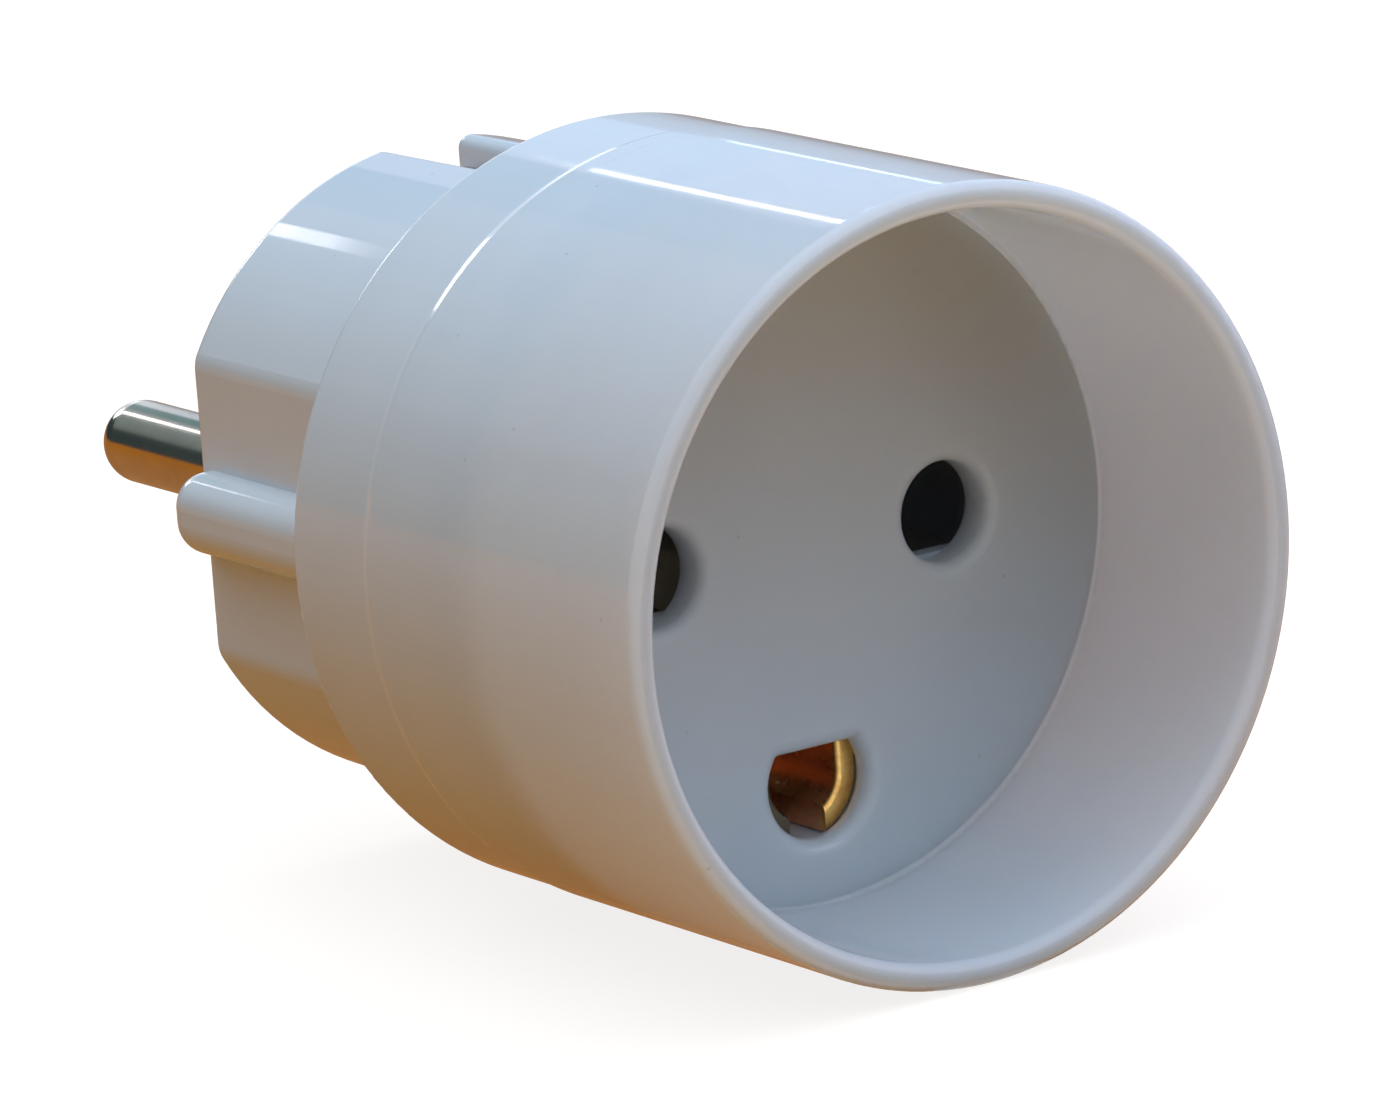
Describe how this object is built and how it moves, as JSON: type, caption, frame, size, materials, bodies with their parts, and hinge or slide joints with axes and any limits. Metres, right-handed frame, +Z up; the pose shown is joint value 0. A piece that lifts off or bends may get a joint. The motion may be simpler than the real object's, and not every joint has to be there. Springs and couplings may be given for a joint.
{
  "type": "plug adapter",
  "caption": "Round white plug adapter: a recessed socket with pin holes and a D-shaped earth slot in front, and a ribbed, earthed round-pin plug behind.",
  "frame": {"origin": "middle of the plug face, midway between the pins, where they stand out of the plug body", "axes": "+Y along the pins into the wall, +Z up with the earth slot below the pin holes, +X across the pins"},
  "size_m": [0.043, 0.069, 0.043],
  "materials": {
    "shell_plastic": "gloss, moulded",
    "pin_nickel": "polished nickel plating",
    "contact_brass": "bare stamped sheet"
  },
  "bodies": {
    "root": {"socket_housing": "shell_plastic", "plug_body": "shell_plastic", "plug_pin_left": "pin_nickel", "plug_pin_right": "pin_nickel", "spring_contact_left": "contact_brass", "spring_contact_right": "contact_brass", "earth_strap": "pin_nickel", "earth_contact": "contact_brass", "earth_rivet": "contact_brass"}
  },
  "joints": []
}
